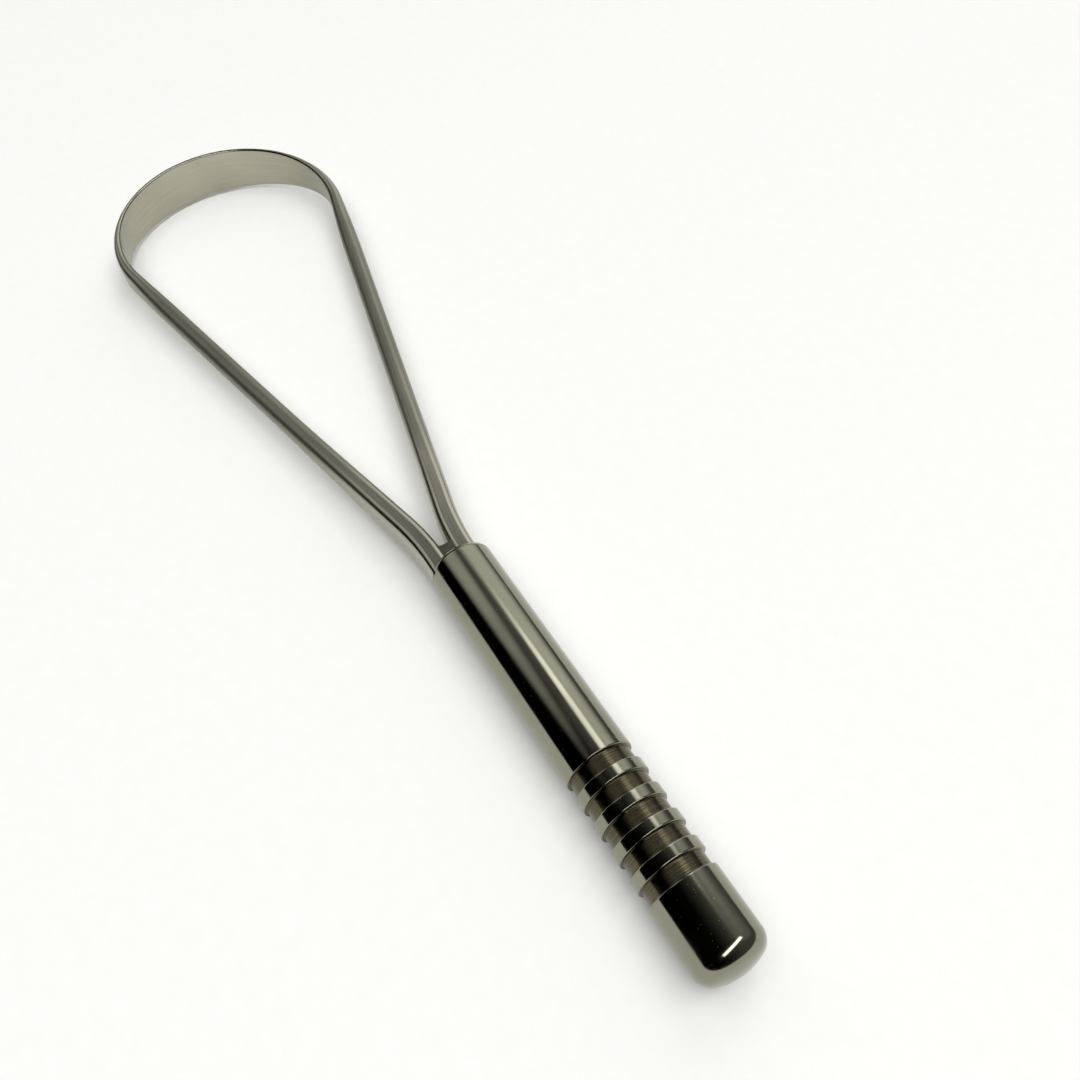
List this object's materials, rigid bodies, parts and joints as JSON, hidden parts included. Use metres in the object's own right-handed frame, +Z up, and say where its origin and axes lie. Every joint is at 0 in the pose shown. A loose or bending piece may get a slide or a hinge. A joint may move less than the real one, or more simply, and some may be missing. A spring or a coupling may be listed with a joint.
{
  "type": "tongue scraper",
  "caption": "Polished steel tongue scraper: a round grooved handle carries a teardrop wire loop whose far end is pressed into a thin upright blade.",
  "frame": {"origin": "under the middle of the whole part, on the surface that the handle lies on", "axes": "+X from the handle's butt to the blade, +Z up out of the loop's plane, +Y to the left seen from the butt"},
  "size_m": [0.162, 0.0394, 0.0085],
  "materials": {
    "handle_steel": "mirror polished",
    "loop_steel": "mirror polished",
    "weld_steel": "ground and polished weld"
  },
  "bodies": {
    "root": {"handle": "handle_steel", "scraper_loop": "loop_steel", "weld": "weld_steel"}
  },
  "joints": []
}
